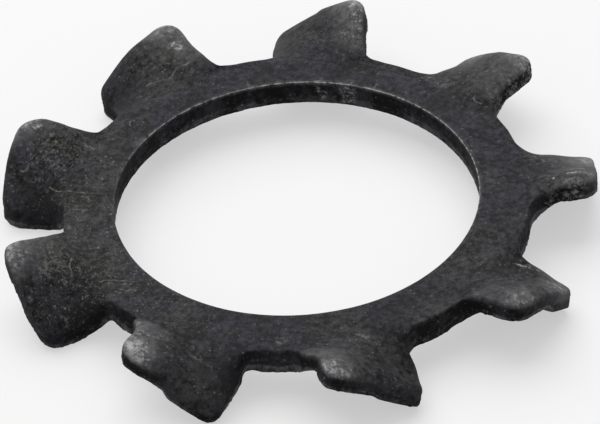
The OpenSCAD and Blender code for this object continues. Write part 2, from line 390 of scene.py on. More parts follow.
def blank_pitch():
    """One tooth with the gap beside it, as a flat mesh open at both ends."""
    verts, faces, wall, margin = [], [], [], []

    def sheet(rows, wall_of, flip, margins=None):
        """Adds a grid of points, given as rows of equal length."""
        start = len(verts)
        width = len(rows[0])
        for row, line in enumerate(rows):
            verts.extend(line)
            wall.extend([wall_of(row)] * width)
            margin.extend(margins[row] if margins else [0.0] * width)
        for row in range(len(rows) - 1):
            for column in range(width - 1):
                a = start + row * width + column
                quad = (a, a + 1, a + width + 1, a + width)
                faces.append(quad[::-1] if flip else quad)

    rim = edge_profile(ROLL, ROLL_DEPTH, BURR_ROUND)
    hole = edge_profile(BORE_EDGE, BORE_EDGE, BURR_ROUND)

    def wallness(profile):
        def share(row):
            inset, height = profile[row]
            return min(1.0, max(0.0, (profile[0][1] - height) / (0.8 * ROLL_DEPTH)))

        return share

    columns = range(RING_COLUMNS + 1)
    for side, flip in ((0, False), (-1, True)):
        inset, z = rim[side]
        hole_r = BORE_R + hole[side][0]
        shares = [2 * c / TOOTH_COLUMNS - 1 for c in range(TOOTH_COLUMNS + 1)]
        tooth = [
            [(*tooth_place(row, share, inset), z) for share in shares]
            for row in range(TOOTH_ROWS + 1)
        ]
        margins = [
            [tooth_margin(row, share, inset) for share in shares]
            for row in range(TOOTH_ROWS + 1)
        ]
        sheet(tooth, lambda row: 0.0, not flip, margins)
        ring, margins = [], []
        for row in range(RING_ROWS + 1):
            share = row / RING_ROWS
            r = hole_r + (RING_R - inset - hole_r) * share
            ring.append([(*foot_place(column, inset, r), z) for column in columns])
            margins.append([DOME_WIDTH] * len(columns))
        sheet(ring, lambda row: 0.0, not flip, margins)

    rim_rows = [[(*place, z) for place in outline(inset)] for inset, z in rim]
    margins = [[inset] * len(rim_rows[0]) for inset, z in rim]
    sheet(rim_rows, wallness(rim), True, margins)
    hole_rows = []
    for row, (step, z) in enumerate(hole):
        inset = rim[0][0] + (rim[-1][0] - rim[0][0]) * row / (len(hole) - 1)
        r = BORE_R + step
        hole_rows.append([(*foot_place(column, inset, r), z) for column in columns])
    sheet(hole_rows, wallness(hole), False)

    mesh = bpy.data.meshes.new("blank_pitch")
    mesh.from_pydata(verts, [], faces)
    for name, values in (("wall", wall), ("margin", margin)):
        layer = mesh.attributes.new(name, "FLOAT", "POINT")
        layer.data.foreach_set("value", values)
    return bpy.data.objects.new("blank_pitch", mesh)


# ---------------------------------------------------------- the geometry tree

DEGREE = math.pi / 180
WALL_ROUGHNESS = 0.14 * MM
FACE_UNEVENNESS = 0.02 * MM
MERGE_DISTANCE = 0.002 * MM

# Each pair below is where a smooth passage or a band begins and ends, or its
# middle and its spread. Across a tooth: where its raised half ends and its
# lowered half begins
RAISED_PASSAGE = (-0.9 * MM, 0.3 * MM)
LOWERED_PASSAGE = (-0.3 * MM, 0.3 * MM)
# Where the bend fades into the gaps beside the tooth's foot
LOW_FOOT_PASSAGE = (ROOT_W / 2 - 0.05 * MM, ROOT_W / 2 + 0.3 * MM)
HIGH_FOOT_PASSAGE = (ROOT_W / 2 - 0.1 * MM, ROOT_W / 2 + 0.75 * MM)
# Along a tooth, as shares of its length: where the dome and the crown set in
DOME_PASSAGE = (0.0, 0.35)
CROWN_PASSAGE = (0.0, 0.8)
# How wide the lowered half's dome is beside the raised half's
LOWERED_DOME_SHARE = 0.6

# Spots of a tooth, in mm: how far across it and how far from the bore's axis
# they lie, and how far they spread each way
HIGH_CORNER_SPOT = (-1.45, 8.4, 0.5, 0.5)
LOW_CORNER_SPOT = (1.45, 8.4, 0.5, 0.5)
HIGH_POINT_SPOT = (-1.5, 8.6, 0.35, 0.35)
LOW_POINT_SPOT = (1.5, 8.6, 0.3, 0.3)
HIGH_FOOT_SPOT = (-1.5, 7.1, 0.5, 0.5)
LOW_FOOT_SPOT = (1.5, 7.1, 0.5, 0.5)
NICK_SPOT = (1.6, 6.88, 0.15, 0.15)
# Where rubbed wear and painted sheen sit at the raised corner, and painted sheen at the lowered
# one
HIGH_WEAR_AND_SHEEN_SPOT = (-1.05, 8.45, 0.6, 0.38)
LOW_SHEEN_SPOT = (0.9, 8.5, 0.75, 0.65)
DUST_SPOT = (-0.5, 7.5, 1.0, 0.9)
# A corner is pushed out along the diagonal, by this share each way
DIAGONAL = 0.7
# The feet keep still near the two open ends of a pitch: y over the radius
SEAM_PASSAGE = (0.27, 0.335)
# Where the sheared edge of the lowered side leans back, across and along
SLANT_ACROSS = (0.3 * MM, 1.5 * MM)
SLANT_ALONG = (0.0, 0.2)

# The step between the halves: its line, where it sets in along the tooth and
# across it, what it has on the lowered half, and what the upper face lacks
FOLD_LINE = 0.05 * MM
FOLD_ALONG = (0.25, 1.0)
FOLD_ACROSS = (-0.2 * MM, 0.1 * MM)
FOLD_ON_LOWERED = 0.4
FOLD_OFF_UPPER = 0.6
# The ring's edge between the teeth: how much it grows, and how far that reaches
RING_GROWTH = 0.02 * MM
GAP_REACH = 1.2 * MM

# Bands that the finish follows. By the share of the strip's height
TOP_PASSAGE = (0.35, 0.7)
LIP_BAND = (0.975, 0.018)
# Across a tooth, from its middle line or from its edge
FLANK_BAND = (-1.25 * MM, 0.65 * MM)
FREE_EDGE_BAND = (0.08 * MM, 0.1 * MM)
LOW_ACROSS = (-0.2 * MM, 0.8 * MM)
NOOK_ACROSS = (0.75 * MM, 1.5 * MM)
END_AS_FACE_ACROSS = (-0.3 * MM, 0.5 * MM)
# Along it, as shares of its length, but the flank's and the walls' from its foot
FLANK_START = (-0.1 * MM, 0.5 * MM)
OUTSIDE_START = (-0.4 * MM, 0.2 * MM)
FREE_EDGE_START = (0.1, 0.5)
LOW_START = (0.0, 0.3)
LOW_FADE = (0.5, 1.0)
NOOK_START = (-0.02, 0.1)
NOOK_END = (0.3, 0.75)
END_AS_FACE_START = (0.88, 0.98)
# From the bore's axis
LIP_END = (BORE_R + 0.03 * MM, BORE_R + 0.05 * MM)

# Noises that roughen the faces and the walls: scale, detail and roughness, and
# the level of each that stays where it was
FACE_WAVES = (700.0, 3.0)
FACE_LEVEL = 0.6
TORN_STEPS = (3200.0, 4.0, 0.8)
TORN_LEVEL = 0.58
# How ragged the bore is beside the outside, and the upper and lower edges
BORE_RAGGED = 0.35
LOWER_RAGGED = 1.3
UPPER_RAGGED = 0.5


class Tooth:
    """Where a point lies on its flat tooth, and what follows from that."""

    def __init__(self, net, given):
        self.net = net
        self.number = net.attribute("tooth", "INT")
        flat = net.attribute("flat", "FLOAT_VECTOR")
        parts = net.node("ShaderNodeSeparateXYZ", None, {"Vector": flat})
        self.x, self.y, self.z = (Value(net, socket) for socket in parts.outputs)
        self.r = net.math("SQRT", self.x * self.x + self.y * self.y)
        self.past_foot = self.r - given("Foot Radius")
        length = given("Tip Radius") - given("Foot Radius")
        self.out = net.math("DIVIDE", self.past_foot, length, clamp=True)
        self.raised = 1 - net.step(self.y, *RAISED_PASSAGE)
        self.lowered = net.step(self.y, *LOWERED_PASSAGE)
        self.upper = self.z / THICKNESS + 0.5

    def own(self, values):
        """The value that a list with one for each tooth has for this one."""
        settings = {"data_type": "FLOAT", "items": len(values)}
        sockets = {"Index": self.number}
        for place_in_list, number in enumerate(values):
            sockets[1 + place_in_list] = float(number)
        return self.net.out("GeometryNodeIndexSwitch", settings, sockets)

    def spot(self, across, radius, spread_across, spread_along):
        """1 in the middle of a spot of the tooth, given in mm, and 0 far off."""
        beside = self.net.bell(self.y, across * MM, spread_across * MM)
        return beside * self.net.bell(self.r, radius * MM, spread_along * MM)


def cut_unevenly(net, tooth):
    """Place along and across the blank, with the tooth's own differences."""
    high_push = tooth.own(HIGH_CORNER) * tooth.spot(*HIGH_CORNER_SPOT)
    high_push = high_push + tooth.own(HIGH_POINT) * tooth.spot(*HIGH_POINT_SPOT)
    high_push = high_push * (DIAGONAL * MM)
    low_push = tooth.own(LOW_CORNER) * tooth.spot(*LOW_CORNER_SPOT)
    low_push = low_push + tooth.own(LOW_POINT) * tooth.spot(*LOW_POINT_SPOT)
    low_push = low_push * (DIAGONAL * MM)
    nick = tooth.own(FOOT_NICK) * (tooth.spot(*NICK_SPOT) * (1 - tooth.upper)) * MM
    reach = tooth.own(REACH_MISS) * MM + tooth.own(TIP_SKEW) * tooth.y
    along = tooth.x + reach * tooth.out + high_push + low_push - nick

    slant = tooth.own(LOW_SLANT) * MM * tooth.upper
    slant = slant * net.step(tooth.y, *SLANT_ACROSS) * net.step(tooth.out, *SLANT_ALONG)
    off_seam = 1 - net.step(net.math("ABSOLUTE", tooth.y) / tooth.r, *SEAM_PASSAGE)
    low_foot = tooth.own(LOW_FOOT) * (tooth.spot(*LOW_FOOT_SPOT) * off_seam)
    high_foot = tooth.own(HIGH_FOOT) * (tooth.spot(*HIGH_FOOT_SPOT) * off_seam)
    across = tooth.y + low_push - high_push - nick - slant
    return along, across + low_foot * MM - high_foot * MM


def domed(net, given, tooth):
    """Height in the strip, with the upper face rounded off at the free edges."""

    def roll(width):
        from_edge = net.math("DIVIDE", net.attribute("margin"), width, clamp=True)
        return 1 - net.math("SQRT", 1 - (1 - from_edge) ** 2)

    drop = roll(given("Dome Width")) * given("Dome Depth") * tooth.raised
    low_drop = roll(LOWERED_DOME_SHARE * given("Dome Width")) * given("Lowered Depth")
    drop = drop + low_drop * (1 - tooth.raised)
    crown = given("Crown") * tooth.raised * net.step(tooth.out, *CROWN_PASSAGE)
    return tooth.z + (crown - drop * net.step(tooth.out, *DOME_PASSAGE)) * tooth.upper


def bend_angle(net, given, tooth):
    """The angle of the strip: the bend starts softer at the middle of the foot."""
    across = net.math("DIVIDE", tooth.y * tooth.y, (ROOT_W / 2) ** 2, clamp=True)
    lead = given("Bend Lead") + (1 - across) * given("Middle Lead")
    low_length = given("Lowered Turn") + tooth.upper * given("Lowered Slack")
    low_length = low_length + tooth.own(LOW_LATE) * MM
    high_length = given("Raised Turn") + tooth.own(HIGH_LATE) * MM
    length = high_length * (1 - tooth.lowered) + low_length * tooth.lowered
    gone = net.math("DIVIDE", tooth.past_foot + lead, length + lead, clamp=True)
    turned = 1 - (1 - gone**BEND_START) ** BEND_END
    low_side = 1 - net.step(tooth.y, *LOW_FOOT_PASSAGE)
    high_side = 1 - net.step(0 - tooth.y, *HIGH_FOOT_PASSAGE)
    on_ring = 1 - net.step(tooth.past_foot, 0.0, ROOT_ROUND)
    turned = turned * (1 - on_ring * (1 - low_side * high_side))
    up = (given("Up Angle") + tooth.own(UP_MISS)) * DEGREE
    down = (given("Down Angle") + tooth.own(DOWN_MISS)) * DEGREE
    blend = given("Blend Width")
    side = tooth.y / net.math("SQRT", tooth.y * tooth.y + blend * blend)
    return turned * ((down + up) / 2 + side * (down - up) / 2)


def tip_rise(net, given, tooth):
    """How far the tooth rises, with the step between its halves at the tip."""
    rise = (given("Tip Rise") + tooth.own(LIFT_MISS) * MM) * tooth.out**RISE_POWER
    softness = given("Fold Width") * given("Fold Width")
    fold = (FOLD_LINE - tooth.y) / net.math("SQRT", (tooth.y - FOLD_LINE) ** 2 + softness)
    fold = fold * (1 - net.math("ABSOLUTE", tooth.y) / (TIP_W / 2))
    fold = fold * net.step(tooth.out, *FOLD_ALONG)
    on_raised = net.step(0 - tooth.y, *FOLD_ACROSS)
    fold = fold * (FOLD_ON_LOWERED + (1 - FOLD_ON_LOWERED) * on_raised)
    fold = fold * (1 - FOLD_OFF_UPPER * tooth.upper)
    return rise + fold * given("Fold Height") * tooth.own(FOLD_SHARE)


def twisted(net, given, tooth):
    """Place of the cut, domed and bent tooth, before it is turned to its own."""
    along, across = cut_unevenly(net, tooth)
    z = domed(net, given, tooth)
    angle = bend_angle(net, given, tooth)
    cosine = net.math("COSINE", angle)
    sine = net.math("SINE", angle)
    lean = given("Raised Lean") * (1 - tooth.lowered) + given("Lowered Lean") * tooth.lowered
    sockets = {
        "X": along,
        "Y": across * cosine + z * sine * lean,
        "Z": z * cosine - across * sine + tip_rise(net, given, tooth),
    }
    return net.out("ShaderNodeCombineXYZ", None, sockets)


def out_of_round(net, tooth, place):
    """The place on the slightly uneven ring, and its bearing: east and north."""
    outward = net.vector("NORMALIZE", net.vector("MULTIPLY", place, (1, 1, 0)))
    bearing = net.node("ShaderNodeSeparateXYZ", None, {"Vector": outward})
    east = Value(net, bearing.outputs["X"])
    north = Value(net, bearing.outputs["Y"])
    from_bore = net.step(tooth.r, BORE_R, RING_R)
    at_gap = from_bore * (1 - net.step(tooth.past_foot, 0.0, GAP_REACH))
    error = north * BORE_SHIFT - east * BORE_DRIFT + (1 - 2 * east * east) * BORE_OVAL
    error = (1 - from_bore) * error + at_gap * (RING_GROWTH - north * RING_SHIFT)
    return net.vector("ADD", place, net.scaled(outward, error)), east, north


def finish_and_light_marks(net, tooth, east, north):
    """Where the finish changes: wear with painted sheen and highlights, dust, painted shade."""
    on_top = net.step(tooth.upper, *TOP_PASSAGE)
    flank = net.bell(tooth.y, *FLANK_BAND) * net.step(tooth.past_foot, *FLANK_START)
    # A painted highlight along the rolled free edge of the raised half
    free_edge_highlight = tooth.raised * net.step(tooth.out, *FREE_EDGE_START)
    free_edge_highlight = free_edge_highlight * net.bell(net.attribute("margin"), *FREE_EDGE_BAND)
    # Rubbed wear and painted sheen at the raised corner and side, painted sheen at the lowered
    # corner
    wear_and_sheen = tooth.spot(*HIGH_WEAR_AND_SHEEN_SPOT) * tooth.own(CORNER_WEAR_AND_SHEEN) + flank * tooth.own(SIDE_WEAR_AND_SHEEN)
    wear_and_sheen = wear_and_sheen + tooth.spot(*LOW_SHEEN_SPOT) * tooth.own(LOW_CORNER_SHEEN)
    wear_and_sheen = (wear_and_sheen + 0.25 * free_edge_highlight) * on_top
    dust = tooth.spot(*DUST_SPOT) * tooth.own(DUST) * on_top

    # Painted shade: the lowered half is darkest at its root, and so is the nook beside it
    low = net.step(tooth.y, *LOW_ACROSS) * net.step(tooth.out, *LOW_START)
    low = low * tooth.own(LOW_SHADE) * (1 - 0.6 * net.step(tooth.out, *LOW_FADE))
    nook_shade = net.step(tooth.y, *NOOK_ACROSS) * net.step(tooth.out, *NOOK_START)
    nook_shade = nook_shade * tooth.own(NOOK_SHADE) * (1 - net.step(tooth.out, *NOOK_END))

    # The end of the lowered half takes mostly the faces' colour, not the walls',
    # and the bore's upper edge has a bright lip, a painted highlight, most on one side
    end_as_face = net.step(tooth.out, *END_AS_FACE_START) * net.step(tooth.y, *END_AS_FACE_ACROSS)
    lip_highlight = net.bell(tooth.upper, *LIP_BAND) * (1 - net.step(tooth.r, *LIP_END))
    lip_highlight = lip_highlight * (0.25 + 0.75 * net.step(north + 0.6 * east, -0.3, 0.4))
    return {
        "wear_and_sheen": wear_and_sheen,
        "dust": dust,
        "low": low,
        "nook_shade": nook_shade,
        "end_as_face": end_as_face,
        "lip_highlight": lip_highlight,
        "height": tooth.upper,
    }


def roughness_push(net, given, tooth):
    """How far uneven faces and torn walls stand out along their normal."""
    place = net.out("GeometryNodeInputPosition")
    outside = net.step(tooth.past_foot, *OUTSIDE_START)
    ragged = net.attribute("wall") * (BORE_RAGGED + (1 - BORE_RAGGED) * outside)
    ragged = ragged * (LOWER_RAGGED - (LOWER_RAGGED - UPPER_RAGGED) * tooth.upper)
    push = (net.noise(place, *FACE_WAVES) - FACE_LEVEL) * given("Face Unevenness")
    torn = net.noise(place, *TORN_STEPS) - TORN_LEVEL
    return push + torn * ragged * given("Wall Roughness")


def washer_tree(finish):
    """Repeats the pitch, twists the teeth and roughens the torn walls."""
    tree = bpy.data.node_groups.new("toothed_washer", "GeometryNodeTree")

    def new_socket(name, kind, way="INPUT"):
        made = tree.interface.new_socket(name, in_out=way, socket_type=kind)
        return made.identifier

    new_socket("Geometry", "NodeSocketGeometry")
    new_socket("Geometry", "NodeSocketGeometry", "OUTPUT")
    sizes = {
        "Foot Radius": RING_R,
        "Tip Radius": TIP_R,
        "Up Angle": UP_ANGLE,
        "Down Angle": DOWN_ANGLE,
        "Blend Width": BLEND_W,
        "Bend Lead": BEND_LEAD,
        "Middle Lead": MIDDLE_LEAD,
        "Raised Turn": RAISED_TURN,
        "Lowered Turn": LOWERED_TURN,
        "Lowered Slack": LOWERED_SLACK,
        "Raised Lean": RAISED_LEAN,
        "Lowered Lean": LOWERED_LEAN,
        "Tip Rise": TIP_RISE,
        "Dome Width": DOME_WIDTH,
        "Dome Depth": DOME_DEPTH,
        "Lowered Depth": LOWERED_DEPTH,
        "Crown": CROWN,
        "Fold Height": FOLD_HEIGHT,
        "Fold Width": FOLD_WIDTH,
        "Wall Roughness": WALL_ROUGHNESS,
        "Face Unevenness": FACE_UNEVENNESS,
    }
    names = {name: new_socket(name, "NodeSocketFloat") for name in sizes}
    names["Teeth"] = new_socket("Teeth", "NodeSocketInt")
    names["Finish"] = new_socket("Finish", "NodeSocketMaterial")
    net = Net(tree)
    group = net.node("NodeGroupInput")

    def given(name):
        return Value(net, net.socket(group.outputs, names.get(name, name)))

    def store(geometry, name, value, kind="FLOAT", domain="POINT"):
        settings = {"data_type": kind, "domain": domain}
        sockets = {"Geometry": geometry, "Name": name, "Value": value}
        return net.out("GeometryNodeStoreNamedAttribute", settings, sockets)

    def change(geometry, kind, **sockets):
        sockets = {name.replace("_", " "): content for name, content in sockets.items()}
        return net.out(kind, None, {"Geometry": geometry, **sockets})

    # Each point remembers where it lies on the flat pitch, and its tooth
    blank = Value(net, group.outputs["Geometry"])
    blank = store(blank, "flat", net.out("GeometryNodeInputPosition"), "FLOAT_VECTOR")
    index = net.out("GeometryNodeInputIndex")
    pitch = 2 * math.pi / given("Teeth")
    turn = net.out("ShaderNodeCombineXYZ", None, {"Z": index * pitch})
    pitches = net.out(
        "GeometryNodeInstanceOnPoints",
        None,
        {
            "Points": net.out("GeometryNodePoints", None, {"Count": given("Teeth")}),
            "Instance": blank,
            "Rotation": turn,
        },
    )
    pitches = store(pitches, "tooth", index, "INT", "INSTANCE")
    washer = change(pitches, "GeometryNodeRealizeInstances")

    tooth = Tooth(net, given)
    turn = tooth.number * pitch + tooth.own(PLACE_MISS) * DEGREE * tooth.out
    place = net.out(
        "ShaderNodeVectorRotate",
        {"rotation_type": "Z_AXIS"},
        {"Vector": twisted(net, given, tooth), "Angle": turn},
    )
    place, east, north = out_of_round(net, tooth, place)
    washer = change(washer, "GeometryNodeSetPosition", Position=place)
    washer = change(washer, "GeometryNodeMergeByDistance", Distance=MERGE_DISTANCE)
    for name, value in finish_and_light_marks(net, tooth, east, north).items():
        washer = store(washer, name, value)

    normal = net.out("GeometryNodeInputNormal")
    shift = net.scaled(normal, roughness_push(net, given, tooth))
    washer = change(washer, "GeometryNodeSetPosition", Offset=shift)
    washer = change(washer, "GeometryNodeSetShadeSmooth", Shade_Smooth=True)
    washer = change(washer, "GeometryNodeRealizeInstances")
    washer = change(washer, "GeometryNodeSetMaterial", Material=given("Finish"))
    net.node("NodeGroupOutput", None, {"Geometry": washer})
    values = dict(sizes, Teeth=TEETH, Finish=finish)
    return tree, {names[name]: value for name, value in values.items()}


def make_washer(finish):
    """The washer as a plain mesh, made by running the geometry tree once."""
    source = blank_pitch()
    bpy.context.scene.collection.objects.link(source)
    tree, values = washer_tree(finish)
    modifier = source.modifiers.new("toothed_washer", "NODES")
    modifier.node_group = tree
    for identifier, value in values.items():
        modifier[identifier] = value
    evaluated = source.evaluated_get(bpy.context.evaluated_depsgraph_get())
    mesh = bpy.data.meshes.new_from_object(evaluated)
    mesh.name = "washer_steel"
    washer = bpy.data.objects.new("washer_steel", mesh)
    bpy.context.scene.collection.objects.link(washer)
    source.modifiers.remove(modifier)
    bpy.data.objects.remove(source)
    return washer


# ------------------------------------------------------------------ materials


def new_material(name, kind=Net):
    material = bpy.data.materials.new(name)
    material.use_nodes = True
    material.node_tree.nodes.clear()
    return material, kind(material.node_tree)


# Lint lying on the steel, in mm: both ends in plan, and how far it bows
FIBRES = (
    (-3.98, 6.02, -3.26, 6.02, -0.1),
    (-3.3, 6.0, -2.6, 6.48, -0.1),
    (-7.91, 2.5, -7.66, 2.6, 0.05),
    (-7.25, 2.72, -6.85, 2.92, -0.04),
    (-7.13, 1.96, -6.5, 1.51, 0.04),
    (-6.5, 1.51, -6.08, 1.08, 0.03),
    (-6.64, -1.92, -6.69, -2.57, 0.04),
    (-5.88, -2.98, -4.91, -3.16, -0.1),
    (-5.36, -3.45, -4.88, -3.53, -0.04),
    (-6.5, -3.86, -6.36, -3.97, -0.05),
    (5.57, 3.65, 5.76, 3.31, 0.02),
    (1.03, -6.36, 1.5, -6.6, -0.03),
    (-4.57, 4.3, -4.6, 4.04, 0.01),
    (-4.42, 3.33, -4.2, 3.42, 0.02),
)
# Scratches in the oxide, in the same way
SCRATCHES = (
    (-5.69, 2.81, -5.3, 2.3, 0.01),
    (-2.79, -4.58, -2.93, -5.2, 0.01),
    (4.9, -3.9, 5.4, -3.3, 0.01),
    (3.3, 5.4, 3.9, 4.95, 0.01),
)
# Broken streaks rubbed white, in the same way and with half their width
STREAKS = (
    (7.85, -0.44, 8.35, -0.42, 0.02, 0.05),
    (7.75, -0.88, 8.5, -0.8, 0.03, 0.06),
    (7.34, -0.9, 7.44, -0.86, 0.01, 0.06),
    (-3.1, 7.17, -2.82, 7.0, 0.03, 0.12),
    (-7.4, 3.52, -7.1, 3.62, 0.02, 0.07),
    (5.85, -3.86, 6.35, -3.93, 0.01, 0.045),
)
# Pale smudges, in mm: their places in plan and their radii
SMUDGES = (
    (-2.96, 7.04, 0.22),
    (-5.1, 6.58, 0.09),
    (-7.4, -2.45, 0.3),
    (-1.01, -6.28, 0.25),
    (1.3, -6.5, 0.22),
    (0.47, -8.5, 0.12),
    (-4.75, -6.8, 0.35),
    (6.2, -3.8, 0.3),
    (6.55, -3.9, 0.22),
    (5.73, -6.1, 0.15),
    (8.3, -0.95, 0.25),
    (4.76, 4.72, 0.3),
    (2.37, 7.5, 0.22),
    (2.1, 7.0, 0.2),
    (4.4, 5.0, 0.25),
    (1.18, 5.29, 0.2),
    (1.95, 5.02, 0.28),
    (7.9, -1.3, 0.45),
    (7.25, -1.55, 0.3),
    (7.2, 1.0, 0.6),
    (6.2, 3.45, 0.3),
    (6.7, 3.85, 0.35),
    (7.2, 4.25, 0.4),
    (7.55, 4.6, 0.3),
    (-5.25, 0.6, 0.25),
    (-5.9, 3.1, 0.3),
)


def grey(level, red=1.0, blue=1.0):
    """A grey, with a little more or less red and blue in it."""
    return (level * red, level, level * blue, 1.0)


# The tones of the finish
DARK_OXIDE = grey(0.0155, 1.0, 1.3)
PALE_OXIDE = grey(0.0215, 1.02, 1.04)
# Painted shade laid on the lowered halves and in the nooks beside their roots
PAINTED_SHADE_OXIDE = grey(0.007, 1.0, 1.15)
# The walls' dark oxide, darkened further as painted shade
WALL_OXIDE_AND_SHADE = grey(0.009, 1.0, 1.2)
TORN_STEEL = grey(0.038, 1.0, 1.04)
TORN_IN_BORE = grey(0.026, 1.0, 1.08)
CRUMB_GREY = grey(0.17, 1.03, 0.88)
# Its layers: how much each covers of what is below it, and its tone
DUST_LAYER = (0.7, grey(0.13, 1.04, 0.82))
SPECK_LAYER = (0.8, grey(0.2, 1.02, 0.92))
LINT_LAYER = (0.7, grey(0.2, 1.02, 0.92))
SMEAR_LAYER = (0.7, grey(0.2, 1.02, 0.95))
SCRATCH_LAYER = (0.45, grey(0.1))
# Rubbed steel with painted sheen, then its brightest flecks, partly painted glints
RUBBED_AND_SHEEN_LAYER = (0.9, grey(0.14))
BRIGHT_LAYER = (0.6, grey(0.38))
STREAK_LAYER = (0.8, grey(0.4))
# A painted highlight on the bore's upper edge
LIP_HIGHLIGHT_LAYER = (0.9, grey(0.75))
FLECK_LAYER = (0.65, grey(0.2))
WALL_SMEAR_LAYER = (0.8, grey(0.3))
# How strongly the clouds show, what dust, wear and painted sheen add, and the grain
CLOUD_CONTRAST = 4.8
DUST_WEAR_AND_SHEEN_CONTRAST = 3.0
GRAIN_CONTRAST = 7.0
# The same for the blotches of the walls, with their level and their floor
BLOTCH_CONTRAST = 8.0
BLOTCH_LEVEL = 6.9
BLOTCH_DARKEST = 0.2

# Noises: scale, detail and roughness
CLOUDS = (1500.0, 5.0, 0.6)
GRAIN = (6000.0, 5.0, 0.7)
CLUMPS = (8000.0, 6.0, 0.8)
BROAD_BLOTCHES = (800.0, 3.0, 0.5)
FINE_BLOTCHES = (5200.0, 5.0, 0.7)
TORN_RELIEF = (4200.0, 4.0, 0.7)
SHINE = (7000.0, 5.0, 0.8)
FLECKS = (9000.0, 4.0, 0.8)
# Patches: a noise, and the levels of it between which they fade in
TWO_TONES = ((350.0, 4.0, 0.5), 0.42, 0.6)
SMEAR_PATCHES = ((7000.0, 5.0, 0.8), 0.48, 0.62)
STREAK_PATCHES = ((8000.0, 5.0, 0.8), 0.46, 0.56)
WEAR_AND_SHEEN_PATCHES = ((3600.0, 5.0, 0.7), 0.38, 0.68)
LIP_PATCHES = ((5200.0, 5.0, 0.8), 0.36, 0.62)
LINT_PATCHES = ((4200.0, 4.0, 0.5), 0.42, 0.58)

# The dusty side of the washer: its middle in mm, how far it reaches, its strength
DUSTY_SIDE = (-6.0, -1.5)
DUSTY_REACH = (1.5 * MM, 7.0 * MM)
DUSTY_SHARE = 0.45
LINE_WANDER = 0.25 * MM
SCRATCH_HALF_WIDTH = 0.018 * MM
LINT_HALF_WIDTH = 0.028 * MM
# Where the bore's wall ends and the outer walls begin
BORE_PASSAGE = (5.6 * MM, 6.0 * MM)


class Finish(Net):
    """The tree of the finish, with the patterns that it is made of."""

    def __init__(self, tree):
        super().__init__(tree)
        self.where = self.out("ShaderNodeTexCoord", None, None, "Object")
        # Places in plan, led a little astray so that drawn lines come out uneven
        plan = self.vector("MULTIPLY", self.where, (1, 1, 0))
        wander = self.noise(plan, 2600.0, 3.0, key="Color")
        wander = self.vector("SUBTRACT", wander, (0.5, 0.5, 0.5))
        plan = self.vector("ADD", plan, self.scaled(wander, LINE_WANDER))
        self.plan = self.vector("MULTIPLY", plan, (1, 1, 0))

    def mark(self, name):
        return self.out("ShaderNodeAttribute", {"attribute_name": name}, None, "Fac")

    def grained(self, settings):
        return self.noise(self.where, *settings)

    def patches(self, settings, low, high):
        return self.step(self.grained(settings), low, high)

    def lay(self, base, mask, layer):
        """Lays a layer over the base where the mask is 1."""
        cover, tone = layer
        return self.blend(mask * cover, base, tone)

    def most(self, masks):
        top = masks[0]
        for mask in masks[1:]:
            top = self.math("MAXIMUM", top, mask)
        return top

    def away_from(self, x, y):
        place = (x * MM, y * MM, 0.0)
        return self.vector("DISTANCE", self.plan, place, "Value")

    def smudge(self, x, y, radius):
        return 1 - self.step(self.away_from(x, y), 0.2 * radius * MM, 1.2 * radius * MM)

    def bow(self, x1, y1, x2, y2, sag, width):
        """1 on a thin bowed line between two places of the plan."""
        chord = math.hypot(x2 - x1, y2 - y1)
        radius = (chord**2 / 4 + sag**2) / (2 * sag)
        across = (radius - sag) / chord
        middle = ((x1 + x2) / 2, (y1 + y2) / 2)
        centre = (middle[0] - (y2 - y1) * across, middle[1] + (x2 - x1) * across)
        off_line = self.math("ABSOLUTE", self.away_from(*centre) - abs(radius) * MM)
        on_line = 1 - self.step(off_line, 0.3 * width, width)
        reach = chord / 2 * MM
        return on_line * (1 - self.step(self.away_from(*middle), 0.92 * reach, 1.04 * reach))

    def specks(self, scale, rarity, size):
        """Round specks, one in some of the cells of a random pattern."""
        sockets = {"Vector": self.where, "Scale": scale}
        cells = self.node("ShaderNodeTexVoronoi", None, sockets)
        colour = Value(self, cells.outputs["Color"])
        chance = self.out("ShaderNodeSeparateXYZ", None, {"Vector": colour})
        near = 1 - self.step(Value(self, cells.outputs["Distance"]), 0.4 * size, size)
        return near * self.step(chance, rarity, rarity + 0.04)

    def crumbs(self, scale, rarity):
        """Short curled crumbs, pieces of the level lines of a noise."""
        off_line = self.math("ABSOLUTE", self.noise(self.where, scale, 2.0) - 0.5)
        kept = self.step(self.noise(self.where, 1.7 * scale), rarity, rarity + 0.05)
        return (1 - self.step(off_line, 0.008, 0.026)) * kept


def oxide(net, cloud, grain, dust_wear_and_sheen):
    """Two tones of oxide, clouded, with a fine grain, and darkened by painted shade."""
    base = net.blend(net.patches(*TWO_TONES), DARK_OXIDE, PALE_OXIDE)
    clouds = cloud * (CLOUD_CONTRAST + DUST_WEAR_AND_SHEEN_CONTRAST * dust_wear_and_sheen)
    base = net.blend(1.0, base, 1 + clouds + grain * GRAIN_CONTRAST, "MULTIPLY")
    # Painted shade on the lowered halves and in the nooks beside them
    low = net.mark("low") * (0.35 + cloud)
    painted_shade = net.math("ADD", low, net.mark("nook_shade") * 0.75, clamp=True)
    return net.blend(painted_shade, base, PAINTED_SHADE_OXIDE)


